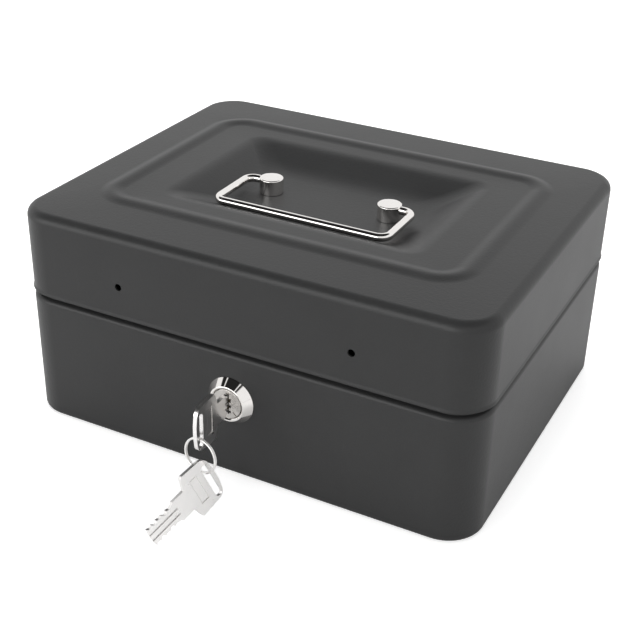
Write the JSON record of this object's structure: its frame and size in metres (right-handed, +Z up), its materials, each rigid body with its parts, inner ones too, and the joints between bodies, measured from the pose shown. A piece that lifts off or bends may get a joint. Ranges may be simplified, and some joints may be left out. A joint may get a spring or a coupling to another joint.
{
  "type": "cash box",
  "caption": "Small steel cash box with a hinged lid, a folding wire handle in a recess, a front cam lock, a lift-out coin tray and two keys on a split ring.",
  "frame": {"origin": "centre of the box's footprint on the table, between the outsides of its walls", "axes": "+X to the right along the front, +Y from the front to the hinges, +Z up"},
  "size_m": [0.2006, 0.2178, 0.0936],
  "materials": {
    "shell_paint": "satin, fine texture",
    "chrome": "polished",
    "zinc": "zinc plated",
    "key_nickel": "nickel plated",
    "brass": "plain",
    "tray_plastic": "matt, fine grain"
  },
  "bodies": {
    "box": {"base_shell": "shell_paint", "base_hinge_leaves": "shell_paint", "hinge_pins": "zinc", "lock_housing": "chrome", "lock_washer": "zinc", "lock_nut": "zinc", "tray_rail_left": "shell_paint", "tray_rail_right": "shell_paint"},
    "lid": {"lid_shell": "shell_paint", "lid_hinge_leaves": "shell_paint", "handle_post_left": "chrome", "handle_post_right": "chrome", "handle_screws": "zinc", "handle_washers": "zinc", "lid_catch": "zinc"},
    "bail": {"handle_bail": "chrome"},
    "plug": {"lock_plug": "chrome", "lock_wafers": "brass", "wafer_springs": "zinc", "stop_washer": "zinc", "lock_cam": "zinc", "cam_washer": "zinc", "cam_screw": "zinc"},
    "tray": {"coin_tray": "tray_plastic"},
    "key": {"lock_key": "key_nickel"},
    "ring": {"key_ring": "key_nickel"},
    "spare": {"spare_key": "key_nickel"}
  },
  "joints": [
    {"name": "lid_hinge", "type": "hinge", "parent": "box", "child": "lid", "pos_m": [0, 0.0824, 0.056], "axis": [-1, 0, 0], "range_deg": [0, 100]},
    {"name": "bail_hinge", "type": "hinge", "parent": "lid", "child": "bail", "pos_m": [0, 0, 0.0901], "axis": [-1, 0, 0], "range_deg": [0, 176]},
    {"name": "plug_turn", "type": "hinge", "parent": "box", "child": "plug", "pos_m": [0, -0.08, 0.0345], "axis": [0, 1, 0], "range_deg": [0, 90]},
    {"name": "key_slide", "type": "slide", "parent": "plug", "child": "key", "axis": [0, -1, 0], "range_m": [0, 0.016]},
    {"name": "ring_swing", "type": "hinge", "parent": "key", "child": "ring", "pos_m": [0, -0.10291, 0.03063], "axis": [-0.9887, 0.107, -0.105], "range_deg": [0, 30]},
    {"name": "spare_swing", "type": "hinge", "parent": "ring", "child": "spare", "pos_m": [0.00394, -0.10405, 0.01717], "axis": [-0.885, 0.078, -0.459], "range_deg": [0, 30]},
    {"name": "tray_lift", "type": "slide", "parent": "box", "child": "tray", "axis": [0, 0, 1], "range_m": [0, 0.02]}
  ]
}
